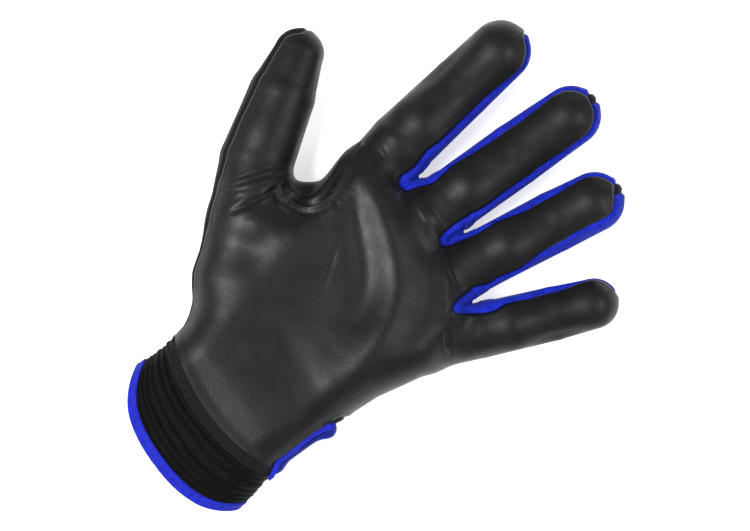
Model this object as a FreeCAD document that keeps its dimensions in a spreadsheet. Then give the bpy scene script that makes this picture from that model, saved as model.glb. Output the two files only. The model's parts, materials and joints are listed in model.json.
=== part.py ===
import FreeCAD, Part
import math
import os
import Sketcher

# Left-hand glove, lying on its back with the palm up.
# X runs towards the little finger, Y towards the fingertips, Z out of the palm.
# Z = 0 is the surface that the back of the hand rests on.

V = FreeCAD.Vector
doc = FreeCAD.newDocument("glove")
dims = doc.addObject("Spreadsheet::Sheet", "dims")

# ---------------------------------------------------------------- driving dimensions (mm, degrees)

DIGITS = ["thumb", "index", "middle", "ring", "little"]
DIGIT_FIELDS = ["hinge_x", "hinge_y", "hinge_z", "lean", "roll", "base_len", "tip_len",
                "root_rad", "mid_rad", "tip_rad", "root_flex", "mid_flex"]
# lean turns a digit about Z away from straight up the hand, positive towards the thumb side;
# roll turns its pad about its own length, towards the little-finger side.
DIGIT_SIZES = {
    "thumb": [-69.2, 31.2, 15.5, 32.8, 30.0, 26.0, 29.5, 13.6, 12.4, 10.6, 45.0, 60.0],
    "index": [-40.3, 87.0, 13.5, 6.2, 0.0, 28.0, 34.6, 12.6, 12.4, 11.8, 60.0, 70.0],
    "middle": [-6.7, 87.0, 13.5, 0.0, 0.0, 30.0, 40.5, 12.9, 12.7, 12.2, 60.0, 70.0],
    "ring": [22.1, 86.0, 13.5, -8.4, 0.0, 28.0, 31.3, 12.8, 12.5, 11.8, 60.0, 70.0],
    "little": [48.4, 68.2, 12.6, -21.4, 0.0, 24.0, 28.5, 11.6, 11.4, 10.8, 60.0, 70.0],
}

HAND_OUTLINE = [
    ("heel_inner", -20.0, -9.0),
    ("heel_outer", 41.0, -9.0),
    ("little_root", 52.0, 46.0),
    ("ring_web", 31.0, 63.0),
    ("index_root", -51.0, 71.0),
    ("thumb_crotch", -51.0, 33.0),
    ("thumb_root", -79.0, 19.0),
    ("thumb_heel", -48.0, -22.0),
    ("wrist_inner", -27.0, -40.0),
]

# Stretch webs in the crotches between the digits, before they are trimmed by the hand.
WEB_FIELDS = ["left", "right", "low", "high", "floor", "ceiling"]
WEB_BLOCKS = {
    "web_index_middle": [-33.0, -14.0, 62.0, 78.0, 6.0, 21.0],
    "web_middle_ring": [-2.0, 17.0, 66.0, 77.0, 6.0, 21.0],
    "web_ring_little": [24.0, 38.0, 50.0, 66.0, 6.0, 20.0],
    "thumb_gusset": [-53.2, -44.0, 29.0, 52.0, 9.0, 26.0],
}

GENERAL_SIZES = {
    "wall": 1.8,             # leather or fabric with its foam and lining
    "lining": 0.8,
    "play": 0.3,             # gap between a lining ball and the shell it turns in
    "hinge_gap": 0.3,
    "back_ease": 6.0,        # half of the extension notch at a digit's root joint, degrees
    "mid_ease": 0.8,
    "notch_ease": 1.0,       # degrees beyond half of the flexion range
    "ball_open": 26.0,       # half angle of a lining ball's opening
    "stub": 26.0,            # depth of a digit's root inside the hand
    "bore_past": 2.3,        # how far the bore runs past the hinge
    "sweep_past": 12.0,      # how far past the hinge the webs keep clear of a digit
    "hand_depth": 36.0,
    "outline_round": 10.0,
    "rim_round": 8.0,
    "seam_level": 16.0,      # palm leather above, back fabric below
    "wrist_left": -29.0,
    "wrist_right": 42.0,
    "wrist_low": 4.2,
    "wrist_high": 41.0,
    "wrist_round": 15.0,
    "wrist_top_end": 8.0,
    "leather_edge": -48.0,
    "tape_width": 5.0,
    "cuff_end": -67.5,       # at the seam level
    "cuff_end_tilt": 20.0,
    "cuff_seam": 22.0,
    "binding_width": 5.0,
    "strap_low": -46.0,
    "strap_width": 34.0,
    "strap_thick": 1.6,
    "strap_bottom": 0.3,
    "strap_round": 14.0,
    "strap_outer": 44.6,
    "strap_top": 19.0,
    "strap_tip": -14.0,
    "patch_thick": 0.8,
    "patch_length": 26.0,
    "patch_margin": 2.0,
    "piping_rad": 1.7,
    "piping_x": 43.6,
    "piping_z": 23.0,
    "piping_bulb": 2.4,
    "reach": 200.0,          # larger than the glove, for cutting solids
    "slab_top": 60.0,        # levels above and below the glove, between which its panels are cut
    "slab_bottom": -20.0,
}


def fill_sheet():
    """Write every driving dimension as plain text with an alias."""
    rows = list(GENERAL_SIZES.items())
    for digit in DIGITS:
        rows += [(f"{digit}_{field}", size) for field, size in zip(DIGIT_FIELDS, DIGIT_SIZES[digit])]
    for corner, x, y in HAND_OUTLINE:
        rows += [(f"{corner}_x", x), (f"{corner}_y", y)]
    for block, sizes in WEB_BLOCKS.items():
        rows += [(f"{block}_{field}", size) for field, size in zip(WEB_FIELDS, sizes)]
    for number, (alias, size) in enumerate(rows, start=1):
        dims.set(f"A{number}", alias)
        dims.set(f"B{number}", str(size))
        dims.setAlias(f"B{number}", alias)
    doc.recompute()


# ---------------------------------------------------------------- helpers

def origin_plane(body, role):
    """Find one of a body's own origin planes."""
    return next(item for item in body.Origin.OriginFeatures if item.Role == role)


def new_body(label):
    body = doc.addObject("PartDesign::Body", label)
    body.Label = label
    return body


def cells(text):
    """Turn {name} in an expression into a reference to the sheet."""
    return text.replace("{", "dims.").replace("}", "")


def sketch_on(body, name, role, turn=0.0):
    """Attach a sketch to an origin plane, turned about the sketch's own horizontal axis."""
    sketch = body.newObject("Sketcher::SketchObject", name)
    sketch.AttachmentSupport = (origin_plane(body, role), [""])
    sketch.MapMode = "FlatFace"
    sketch.AttachmentOffset = FreeCAD.Placement(V(0, 0, 0), FreeCAD.Rotation(V(1, 0, 0), turn))
    return sketch


def arc_between(start, end, radius, side):
    """Arc of a given radius from start to end; side +1 puts its centre left of the chord."""
    chord = end - start
    height = math.sqrt(max(radius ** 2 - (chord.Length / 2) ** 2, 0.0))
    across = V(-chord.y, chord.x, 0).normalize()
    centre = (start + end) / 2 + across * height * side
    middle = centre - across * radius * side
    return Part.Arc(start, middle, end)


def closed_profile(sketch, corners):
    """Draw a closed outline. Each corner is (x, y) or, when an arc leaves it, (x, y, radius, side);
    the coordinates and radii are expressions that stay bound to the sheet."""
    texts = [[cells(part) if isinstance(part, str) else part for part in corner] for corner in corners]
    points = [V(float(sketch.evalExpression(text[0])), float(sketch.evalExpression(text[1])), 0)
              for text in texts]
    count = len(points)
    for number, text in enumerate(texts):
        start = points[number]
        end = points[(number + 1) % count]
        if len(text) == 4:
            radius = float(sketch.evalExpression(text[2]))
            sketch.addGeometry(arc_between(start, end, radius, text[3]), False)
        else:
            sketch.addGeometry(Part.LineSegment(start, end), False)
    starts = [start_vertex(sketch, number, points[number]) for number in range(count)]
    ends = [3 - vertex for vertex in starts]
    for number in range(count):
        after = (number + 1) % count
        sketch.addConstraint(Sketcher.Constraint("Coincident", number, ends[number], after, starts[after]))
    for number, text in enumerate(texts):
        at = points[number]
        bind_constraint(sketch, Sketcher.Constraint("DistanceX", -1, 1, number, starts[number], at.x), text[0])
        bind_constraint(sketch, Sketcher.Constraint("DistanceY", -1, 1, number, starts[number], at.y), text[1])
        if len(text) == 4:
            radius = float(sketch.evalExpression(text[2]))
            bind_constraint(sketch, Sketcher.Constraint("Radius", number, radius), text[2])


def start_vertex(sketch, number, point):
    """1 if the edge's first vertex is the given point, 2 if its second one is."""
    first = sketch.getPoint(number, 1)
    second = sketch.getPoint(number, 2)
    return 1 if first.distanceToPoint(point) <= second.distanceToPoint(point) else 2


def bind_constraint(sketch, constraint, text):
    index = sketch.addConstraint(constraint)
    sketch.setExpression(f"Constraints[{index}]", text)


def place_on_digit(body, digit, along="0"):
    """Local X runs along the digit from its root hinge, local Z out of its pad."""
    cell = f"dims.{digit}_"
    shift = cells(along)
    body.setExpression(
        "Placement",
        f"create(<<placement>>; create(<<vector>>; "
        f"{cell}hinge_x - ({shift}) * sin({cell}lean); "
        f"{cell}hinge_y + ({shift}) * cos({cell}lean); {cell}hinge_z); "
        f"create(<<rotation>>; 90 + {cell}lean; 0; {cell}roll))")


def combine(kind, label, base, tool):
    """Cut, or Common, of two document objects."""
    item = doc.addObject(f"Part::{kind}", label)
    item.Base = base
    item.Tool = tool
    item.Label = label
    return item


def fuse(label, pieces):
    item = doc.addObject("Part::MultiFuse", label)
    item.Shapes = pieces
    item.Label = label
    return item


# ---------------------------------------------------------------- digits

def notch(body, digit, parts):
    """Pocket the bending notches of a segment: parts is a list of (hinge x, side, flex, ease)."""
    for number, (hinge, side, flex, ease) in enumerate(parts):
        sketch = sketch_on(body, f"notch_sketch_{number}", "XZ_Plane")
        far = "2 * {" + digit + "_root_rad}"
        palm = f"({hinge}) + ({side}) * ({{hinge_gap}} + {far} * tan({flex}))"
        back = f"({hinge}) + ({side}) * ({{hinge_gap}} + {far} * tan({ease}))"
        beyond = f"({hinge}) - ({side}) * {far}"
        closed_profile(sketch, [
            (f"({hinge}) + ({side}) * {{hinge_gap}}", "0"),
            (palm, far),
            (beyond, far),
            (beyond, f"-({far})"),
            (back, f"-({far})"),
        ])
        doc.recompute()
        pocket = body.newObject("PartDesign::Pocket", f"notch_{number}")
        pocket.Profile = sketch
        pocket.Midplane = True
        pocket.setExpression("Length", cells("2 * " + far))
        body.Tip = pocket


def notch_angles(digit):
    """Half angles, as expressions: (root flexion, root extension, middle flexion, middle extension)."""
    return (f"{{{digit}_root_flex}} / 2 + {{notch_ease}}", "{back_ease}",
            f"{{{digit}_mid_flex}} / 2 + {{notch_ease}}", "{mid_ease}")


def revolve(body, corners, start_angle, end_angle):
    """Revolve a wall profile about the digit's length, over a sector measured from its pad."""
    turn = (start_angle + end_angle) / 2
    sketch = sketch_on(body, "wall_sketch", "XZ_Plane", turn)
    closed_profile(sketch, corners)
    doc.recompute()
    solid = body.newObject("PartDesign::Revolution", "wall")
    solid.Profile = sketch
    solid.ReferenceAxis = (sketch, ["H_Axis"])
    solid.Angle = end_angle - start_angle
    solid.Midplane = True
    body.Tip = solid


def base_panel(label, digit, start_angle, end_angle):
    """A panel of a digit's first segment, between its two joints."""
    body = new_body(label)
    name = "{" + digit + "_"
    length = name + "base_len}"
    root = name + "root_rad}"
    middle = name + "mid_rad}"
    revolve(body, [
        ("0", root + " - {wall}"),
        ("0", root),
        (length, middle),
        (length, middle + " - {wall}"),
    ], start_angle, end_angle)
    root_flex, root_ease, mid_flex, mid_ease = notch_angles(digit)
    notch(body, digit, [("0", "1", root_flex, root_ease), (length, "-1", mid_flex, mid_ease)])
    place_on_digit(body, digit)
    return body


def tip_panel(label, digit, start_angle, end_angle):
    """A panel of a digit's last segment, closed by a round end."""
    body = new_body(label)
    name = "{" + digit + "_"
    length = name + "tip_len}"
    middle = name + "mid_rad}"
    end = name + "tip_rad}"
    revolve(body, [
        ("0", middle + " - {wall}"),
        ("0", middle),
        (f"{length} - {end}", end, end, -1),
        (length, "0"),
        (length + " - {wall}", "0", end + " - {wall}", 1),
        (f"{length} - {end}", end + " - {wall}"),
    ], start_angle, end_angle)
    mid_flex, mid_ease = notch_angles(digit)[2:]
    notch(body, digit, [("0", "1", mid_flex, mid_ease)])
    place_on_digit(body, digit, name + "base_len}")
    return body


def lining(label, digit, start_rad, end_rad, length, along):
    """Lining tube of one segment, with the ball that turns inside the segment before it."""
    body = new_body(label)
    ball = f"({start_rad} - {{wall}} - {{play}})"
    neck = f"({end_rad} - {{wall}} - {{play}})"
    revolve(body, [
        (f"-{ball} * cos({{ball_open}})", f"{ball} * sin({{ball_open}})", ball, -1),
        ("0", ball),
        (length, neck),
        (length, f"{neck} - {{lining}}"),
        ("0", f"{ball} - {{lining}}", f"{ball} - {{lining}}", 1),
        (f"-({ball} - {{lining}}) * cos({{ball_open}})", f"({ball} - {{lining}}) * sin({{ball_open}})"),
    ], -180.0, 180.0)
    place_on_digit(body, digit, along)
    return body


def digit_linings(digit):
    name = "{" + digit + "_"
    root = name + "root_rad}"
    middle = name + "mid_rad}"
    end = name + "tip_rad}"
    base_len = name + "base_len}"
    base_end = f"{base_len} - ({middle} - {{wall}}) - {{lining}}"
    tip_end = f"{name}tip_len}} - {end} - {{lining}}"
    return [lining(f"{digit}_base_lining", digit, root, middle, base_end, "0"),
            lining(f"{digit}_tip_lining", digit, middle, end, tip_end, base_len)]


# Sectors of each digit's shell, in degrees from its pad, positive towards the little-finger side.
SECTORS = {
    "thumb": {"leather": (-110.0, 110.0), "back": (110.0, 250.0)},
    "index": {"leather": (-125.0, 54.0), "fourchette_ulnar": (54.0, 125.0), "back": (125.0, 235.0)},
    "middle": {"leather": (-60.0, 47.0), "fourchette_ulnar": (47.0, 125.0), "back": (125.0, 235.0),
               "fourchette_radial": (235.0, 300.0)},
    "ring": {"leather": (-62.0, 37.0), "fourchette_ulnar": (37.0, 125.0), "back": (125.0, 235.0),
             "fourchette_radial": (235.0, 298.0)},
    "little": {"leather": (-52.0, 125.0), "back": (125.0, 235.0), "fourchette_radial": (235.0, 308.0)},
}


def digit_nodes(digit):
    nodes = digit_linings(digit)
    for panel, (start_angle, end_angle) in SECTORS[digit].items():
        nodes.append(base_panel(f"{digit}_base_{panel}", digit, start_angle, end_angle))
        nodes.append(tip_panel(f"{digit}_tip_{panel}", digit, start_angle, end_angle))
    return nodes


# Each kind of digit root: how far its radius differs from the shell's, and how far it passes the hinge.
ROOT_KINDS = {
    "stub": ("0", "0"),
    "bore": ("-{wall}", "{bore_past}"),
    "sweep": ("{play}", "{sweep_past}"),
}


def digit_root(digit, kind):
    """Solid root of a digit inside the hand: the stub up to its hinge, the stub's bore,
    or the space that the moving segment and its ball need."""
    body = new_body(f"{digit}_{kind}")
    grow, end = ROOT_KINDS[kind]
    radius = "{" + digit + "_root_rad} + " + grow
    revolve(body, [
        ("-{stub}", "0"),
        ("-{stub}", radius),
        (end, radius),
        (end, "0"),
    ], -180.0, 180.0)
    if kind == "stub":
        root_flex, root_ease = notch_angles(digit)[:2]
        notch(body, digit, [("0", "-1", root_flex, root_ease)])
    place_on_digit(body, digit)
    return body


# ---------------------------------------------------------------- hand and cuff

def inset_outline(inset):
    """The hand outline moved inwards by a multiple of the wall, as sheet expressions."""
    count = len(HAND_OUTLINE)
    corners = []
    for number, (corner, x, y) in enumerate(HAND_OUTLINE):
        before = HAND_OUTLINE[number - 1]
        after = HAND_OUTLINE[(number + 1) % count]
        into = V(x - before[1], y - before[2], 0).normalize()
        out = V(after[1] - x, after[2] - y, 0).normalize()
        normal_in = V(-into.y, into.x, 0)
        normal_out = V(-out.y, out.x, 0)
        mitre = (normal_in + normal_out) / (1 + normal_in.dot(normal_out))
        corners.append((f"{{{corner}_x}} + {{wall}} * {inset * mitre.x}",
                        f"{{{corner}_y}} + {{wall}} * {inset * mitre.y}"))
    return corners


def rounded(body, base, edges, radius):
    """Fillet some edges of the last feature with a bound radius."""
    fillet = body.newObject("PartDesign::Fillet", "round")
    fillet.Base = (base, edges)
    fillet.setExpression("Radius", cells(radius))
    body.Tip = fillet
    doc.recompute()
    return fillet


def is_straight_along(edge, direction):
    return edge.Curve.TypeId == "Part::GeomLine" and edge.tangentAt(edge.FirstParameter).isParallel(
        direction, 0.01)


def hand_block(label, inset):
    """Cushion-shaped block of the palm: an outline with rounded corners and rounded rims."""
    body = new_body(label)
    sketch = sketch_on(body, "outline", "XY_Plane")
    closed_profile(sketch, inset_outline(inset))
    doc.recompute()
    pad = body.newObject("PartDesign::Pad", "block")
    pad.Profile = sketch
    pad.setExpression("Length", cells(f"{{hand_depth}} - 2 * {{wall}} * {inset}"))
    body.Tip = pad
    doc.recompute()
    upright = [f"Edge{n + 1}" for n, edge in enumerate(pad.Shape.Edges) if is_straight_along(edge, V(0, 0, 1))]
    corners = rounded(body, pad, upright, f"{{outline_round}} - {{wall}} * {inset}")
    level = [f"Edge{n + 1}" for n, edge in enumerate(corners.Shape.Edges) if edge.BoundBox.ZLength < 1e-6]
    rounded(body, corners, level, f"{{rim_round}} - {{wall}} * {inset}")
    body.setExpression("Placement.Base.z", cells(f"{{wall}} * {inset}"))
    return body


def wrist_block(label, inset):
    """Block of the wrist and cuff; the inner one runs out of the cuff's mouth."""
    body = new_body(label)
    sketch = sketch_on(body, "section", "XZ_Plane")
    shrink = f"{{wall}} * {inset}"
    left = f"{{wrist_left}} + {shrink}"
    right = f"{{wrist_right}} - {shrink}"
    low = f"{{wrist_low}} + {shrink}"
    high = f"{{wrist_high}} - {shrink}"
    closed_profile(sketch, [(left, low), (right, low), (right, high), (left, high)])
    doc.recompute()
    pad = body.newObject("PartDesign::Pad", "block")
    pad.Profile = sketch
    pad.setExpression("Length", cells("{reach} / 2"))
    body.Tip = pad
    doc.recompute()
    along = [f"Edge{n + 1}" for n, edge in enumerate(pad.Shape.Edges) if is_straight_along(edge, V(0, 1, 0))]
    rounded(body, pad, along, f"{{wrist_round}} - {shrink}")
    body.setExpression("Placement.Base.y", cells("{wrist_top_end} - " + shrink))
    return body


def side_slab(label, corners):
    """Wide prism with a given side view in Y and Z, for taking one panel from a shell."""
    body = new_body(label)
    sketch = sketch_on(body, "side_view", "YZ_Plane")
    closed_profile(sketch, corners)
    doc.recompute()
    pad = body.newObject("PartDesign::Pad", "slab")
    pad.Profile = sketch
    pad.Midplane = True
    pad.setExpression("Length", cells("2 * {reach}"))
    body.Tip = pad
    return body


def rim_y(level, inside):
    """Y of the cuff's slanted rim at a level, moved inside the cuff by a distance."""
    return f"{{cuff_end}} - ({level} - {{cuff_seam}}) * tan({{cuff_end_tilt}}) + {inside}"


def hand_panels():
    """Leather palm, fabric back and the four panels of the cuff, taken from one shell."""
    digits_outer = [digit_root(digit, "stub") for digit in DIGITS]
    digits_inner = [digit_root(digit, "bore") for digit in DIGITS]
    outer = fuse("hand_outer", [hand_block("hand_solid", 0), wrist_block("wrist_solid", 0)] + digits_outer)
    inner = fuse("hand_inner", [hand_block("hand_hollow", 1), wrist_block("wrist_hollow", 1)] + digits_inner)
    shell = combine("Cut", "hand_shell", outer, inner)
    far = "{reach}"
    seam = "{seam_level}"
    cuff_seam = "{cuff_seam}"
    edge = "{leather_edge}"
    tape = "({leather_edge} - {tape_width})"
    top = "{slab_top}"
    bottom = "{slab_bottom}"
    band = "{binding_width}"
    slabs = {
        "palm_panel": [(edge, seam), (far, seam), (far, top), (edge, top)],
        "back_panel": [(edge, bottom), (far, bottom), (far, seam), (edge, seam)],
        "cuff_join_tape": [(tape, cuff_seam), (edge, cuff_seam), (edge, top), (tape, top)],
        "cuff_rib_panel": [(rim_y(cuff_seam, band), cuff_seam), (tape, cuff_seam), (tape, top),
                           (rim_y(top, band), top)],
        "cuff_back_panel": [(rim_y(bottom, band), bottom), (edge, bottom), (edge, cuff_seam),
                            (rim_y(cuff_seam, band), cuff_seam)],
        "cuff_binding": [(rim_y(bottom, "0"), bottom), (rim_y(bottom, band), bottom),
                         (rim_y(top, band), top), (rim_y(top, "0"), top)],
    }
    panels = [combine("Common", label, shell, side_slab(label + "_slab", corners))
              for label, corners in slabs.items()]
    return panels, outer


def web(label, hand):
    """Stretch web between two digits: a block trimmed by the hand around it."""
    block = doc.addObject("Part::Box", label + "_block")
    cell = "{" + label + "_"
    for side, low, high in (("Length", "left", "right"), ("Width", "low", "high"),
                            ("Height", "floor", "ceiling")):
        block.setExpression(side, cells(f"{cell}{high}}} - {cell}{low}}}"))
    for axis, low in (("x", "left"), ("y", "low"), ("z", "floor")):
        block.setExpression(f"Placement.Base.{axis}", cells(f"{cell}{low}}}"))
    return combine("Cut", label, block, hand)


def webs(hand_solid):
    """The webs fill the crotches, clear of the hand and of the digits that turn beside them."""
    hand = fuse("web_clearance", [hand_solid] + [digit_root(digit, "sweep") for digit in DIGITS])
    return [web(label, hand) for label in WEB_BLOCKS]


# ---------------------------------------------------------------- wrist strap

def strap_box(label, x_low, length, z_low, margin):
    """Flat patch of hook or loop tape, centred on the strap's width."""
    box = doc.addObject("Part::Box", label)
    box.Label = label
    box.setExpression("Length", cells(length))
    box.setExpression("Width", cells(f"{{strap_width}} - 2 * {margin}"))
    box.setExpression("Height", cells("{patch_thick}"))
    box.setExpression("Placement.Base.x", cells(x_low))
    box.setExpression("Placement.Base.y", cells(f"{{strap_low}} + {margin}"))
    box.setExpression("Placement.Base.z", cells(z_low))
    return box


def wrist_strap():
    """Band that leaves the outer wrist seam, turns under the wrist and lies flat on its back."""
    body = new_body("wrist_strap")
    sketch = sketch_on(body, "side_view", "XZ_Plane")
    bottom = "{strap_bottom}"
    inside = "({strap_bottom} + {strap_thick})"
    inner_round = "{strap_round} - {strap_thick}"
    closed_profile(sketch, [
        ("{strap_outer}", "{strap_top}"),
        ("{strap_outer}", f"{bottom} + {{strap_round}}", "{strap_round}", -1),
        ("{strap_outer} - {strap_round}", bottom),
        ("{strap_tip}", bottom),
        ("{strap_tip}", inside),
        ("{strap_outer} - {strap_round}", inside, inner_round, 1),
        ("{strap_outer} - {strap_thick}", f"{bottom} + {{strap_round}}"),
        ("{strap_outer} - {strap_thick}", "{strap_top}"),
    ])
    doc.recompute()
    pad = body.newObject("PartDesign::Pad", "band")
    pad.Profile = sketch
    pad.Reversed = True
    pad.setExpression("Length", cells("{strap_width}"))
    body.Tip = pad
    body.setExpression("Placement.Base.y", cells("{strap_low}"))
    return body


def strap_patches():
    start = "{strap_tip} + {patch_margin}"
    hook = strap_box("hook_patch", start, "{patch_length}", "{strap_bottom} + {strap_thick}", "{patch_margin}")
    loop = strap_box("loop_patch", start, "{patch_length}", "{wrist_low} - {patch_thick}", "{patch_margin}")
    return [hook, loop]


def wrist_piping(hand):
    """Round piping along the outer wrist seam, with a thicker folded end."""
    rod = doc.addObject("Part::Cylinder", "piping_rod")
    rod.setExpression("Radius", cells("{piping_rad}"))
    rod.setExpression("Height", cells("{strap_width}"))
    rod.setExpression("Placement", cells(
        "create(<<placement>>; create(<<vector>>; {piping_x}; {strap_low}; {piping_z}); "
        "create(<<rotation>>; 0; 0; -90))"))
    bulb = doc.addObject("Part::Sphere", "piping_end")
    bulb.setExpression("Radius", cells("{piping_bulb}"))
    bulb.setExpression("Placement.Base.x", cells("{piping_x}"))
    bulb.setExpression("Placement.Base.y", cells("{strap_low} + {strap_width}"))
    bulb.setExpression("Placement.Base.z", cells("{piping_z}"))
    return combine("Cut", "wrist_piping", fuse("piping_solid", [rod, bulb]), hand)


# ---------------------------------------------------------------- build, test and write

fill_sheet()
nodes, hand_outer = hand_panels()
nodes += webs(hand_outer)
for digit in DIGITS:
    nodes += digit_nodes(digit)
nodes.append(wrist_strap())
nodes += strap_patches()
nodes.append(wrist_piping(hand_outer))
doc.recompute()

for item in doc.Objects:
    if {"Invalid", "Error"} & set(item.State):
        raise RuntimeError(f"{item.Label} failed: {item.State}")
os.makedirs("parts", exist_ok=True)
for node in nodes:
    if node.Shape.isNull() or not node.Shape.isValid() or not node.Shape.Solids:
        raise RuntimeError(f"{node.Label} has no valid solid")
for node in nodes:
    node.Shape.exportStep(f"parts/{node.Label}.step")
print(len(nodes), "nodes")
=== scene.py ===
import bpy
import json
import math
import numpy as np
from mathutils import Matrix, Vector, noise
from mathutils.kdtree import KDTree


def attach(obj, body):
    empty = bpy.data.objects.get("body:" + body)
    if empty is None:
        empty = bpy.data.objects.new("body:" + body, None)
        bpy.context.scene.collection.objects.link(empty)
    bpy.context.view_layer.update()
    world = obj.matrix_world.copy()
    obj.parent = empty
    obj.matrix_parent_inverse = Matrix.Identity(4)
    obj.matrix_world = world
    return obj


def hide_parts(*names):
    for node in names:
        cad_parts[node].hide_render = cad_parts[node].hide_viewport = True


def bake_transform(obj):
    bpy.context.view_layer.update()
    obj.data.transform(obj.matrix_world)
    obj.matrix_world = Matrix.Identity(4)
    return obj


# Left-hand glove, palm up. Shapes are worked out in millimetres and made in metres.
# One smooth hand surface is cut along its seams into panels; each panel is one piece.

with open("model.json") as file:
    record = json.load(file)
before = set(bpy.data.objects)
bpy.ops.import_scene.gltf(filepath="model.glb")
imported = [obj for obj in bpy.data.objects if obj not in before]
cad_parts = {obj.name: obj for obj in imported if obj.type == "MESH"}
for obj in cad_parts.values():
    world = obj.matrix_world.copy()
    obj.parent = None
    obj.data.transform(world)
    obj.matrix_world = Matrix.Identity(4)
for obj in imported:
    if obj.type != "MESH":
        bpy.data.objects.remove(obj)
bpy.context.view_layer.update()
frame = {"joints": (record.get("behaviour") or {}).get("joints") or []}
JOINTS = {joint["name"]: joint for joint in frame["joints"]}
MM = 0.001

# ---------------- the shape of the hand

DIGITS = ["thumb", "index", "middle", "ring", "little"]
# Distance from the seam plane at a digit's root to its root hinge; lengths of its root and middle
# bending zones; distance from its middle hinge to its end; radii inside the hand, at its root, at its
# middle joint and at its end; and how far its middle line bows towards the little-finger side there.
DIGIT_SHAPE = {
    "thumb": dict(lead=4.2, root_zone=20.5, mid_zone=21.0, reach=29.5, radii=(15.6, 15.8, 14.3, 10.6),
                  bow=(-0.6, -1.7, -1.9, -1.6)),
    "index": dict(lead=7.5, root_zone=21.5, mid_zone=25.0, reach=36.0, radii=(11.8, 14.2, 13.5, 13.1),
                  bow=(1.0, 1.3, 0.5, 0.1)),
    "middle": dict(lead=7.5, root_zone=22.0, mid_zone=25.0, reach=41.4, radii=(13.1, 13.4, 13.5, 12.8),
                   bow=(0.0, 0.0, 0.2, 0.8)),
    "ring": dict(lead=7.5, root_zone=20.5, mid_zone=25.0, reach=31.6, radii=(12.9, 12.6, 13.0, 12.7),
                 bow=(0.0, -0.1, 0.0, 0.4)),
    "little": dict(lead=7.5, root_zone=19.5, mid_zone=22.5, reach=28.3, radii=(11.0, 11.7, 11.5, 10.7),
                   bow=(-0.6, -0.5, 0.3, 0.6)),
}
FLAT_BACK = 1.2              # the back is flattened a little where it rests
STRAP_LIFT = 2.5             # and higher where the wrist strap passes under it
ROOT_DEPTH = 28.0            # how far a digit's axis runs back into the hand
THUMB_AREA = 1.3             # the skin within this many radii of the thumb's axis belongs to the thumb

# Core of the palm and wrist seen from above; the palm's outline is this, moved out by PALM_OUT.
PALM_CORE = [(-15.5, -100), (34.5, -100), (32.5, -58), (28.3, -42), (28.5, -14), (30, 12), (35, 36),
             (29, 52), (-10, 57), (-35, 57), (-34, 46), (-32, 32), (-32, 16), (-20, -22), (-16, -45)]
PALM_OUT = 12.0
PALM_ROUND = 15.0            # rounding between the palm's face and its sides
PALM_LEVEL, WRIST_LEVEL = 18.0, 21.5
PALM_HALF, WRIST_HALF = 17.0, 18.5
WRIST_BLEND = (-38.0, -4.0)  # Y over which the palm turns into the wrist
# Ball of the thumb, from the wrist to the thumb's root: x, y, z, radius.
THENAR = [(-19, -27, 19, 11.8), (-34, -11, 18.4, 16.0), (-48.5, 9, 17.2, 18.3)]
# Webs between the digits: two ends, radius.
WEBS = [((-28, 71, 12), (-17, 71, 12), 7.5), ((2, 71, 12), (12, 70, 12), 7.2),
        ((27, 58, 12), (38, 55, 12), 7.0), ((-49.6, 30.2, 16), (-43.2, 38.2, 16), 4.4)]
# Pads and hollows of the palm: x, y, half widths, height.
MOUNDS = [(-6, -17, 9, 8, 1.0), (-34, 4, 16, 24, 1.2), (24, 2, 15, 32, 2.2), (-4, 22, 16, 22, -2.6),
          (34, 34, 9, 12, 1.0)]
THUMB_BLEND, FINGER_BLEND = 3.0, 0.4    # rounding where two stretches of a digit's rod meet
CROTCH_BLEND, PALM_BLEND, THENAR_BLEND, WEB_BLEND = 1.5, 7.0, 9.0, 4.0


def axis_of(digit):
    """Root plane point, direction and key points of a digit's axis, in millimetres."""
    shape = DIGIT_SHAPE[digit]
    root = np.array(JOINTS[f"{digit}_root_bend"]["pos_m"]) / MM
    middle = np.array(JOINTS[f"{digit}_middle_bend"]["pos_m"]) / MM
    along = (middle - root) / np.linalg.norm(middle - root)
    end = middle + along * (shape["reach"] - shape["radii"][3])
    side = np.array([along[1], -along[0], 0])
    points = [root - along * ROOT_DEPTH, root - along * shape["lead"], middle, end]
    return dict(plane=points[1], along=along, side=side, radii=shape["radii"],
                points=[point + side * bow for point, bow in zip(points, shape["bow"])])


AXES = {digit: axis_of(digit) for digit in DIGITS}


def smooth_min(a, b, reach):
    blend = np.clip(0.5 + 0.5 * (b - a) / reach, 0, 1)
    return b * (1 - blend) + a * blend - reach * blend * (1 - blend)


def ramp(low, high, value):
    """Smooth step from 0 to 1."""
    t = np.clip((value - low) / (high - low), 0, 1)
    return t * t * (3 - 2 * t)


def bell(value, centre, width):
    """Smooth hump of height 1."""
    return np.exp(-((value - centre) / width) ** 2)


def lengths(vectors):
    """Lengths of rows of vectors, as a column."""
    return np.linalg.norm(vectors, axis=1)[:, None]


def round_cone(p, start, end, r0, r1):
    """Distance to a tapered rod with round ends."""
    along = np.asarray(end, float) - np.asarray(start, float)
    rel = p - np.asarray(start, float)
    t = np.clip(rel @ along / (along @ along), 0, 1)
    return np.linalg.norm(rel - t[..., None] * along, axis=-1) - (r0 + (r1 - r0) * t)


def polygon_distance(x, y, corners):
    """Signed distance in the plane, negative inside."""
    best = np.full(x.shape, 1e9)
    inside = np.zeros(x.shape, bool)
    for (ax, ay), (bx, by) in zip(corners, corners[1:] + corners[:1]):
        ex, ey = bx - ax, by - ay
        t = np.clip(((x - ax) * ex + (y - ay) * ey) / (ex * ex + ey * ey), 0, 1)
        best = np.minimum(best, np.hypot(x - ax - ex * t, y - ay - ey * t))
        inside ^= ((ay > y) != (by > y)) & (x < ex * (y - ay) / (ey + 1e-9) + ax)
    return np.where(inside, -best, best)


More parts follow.
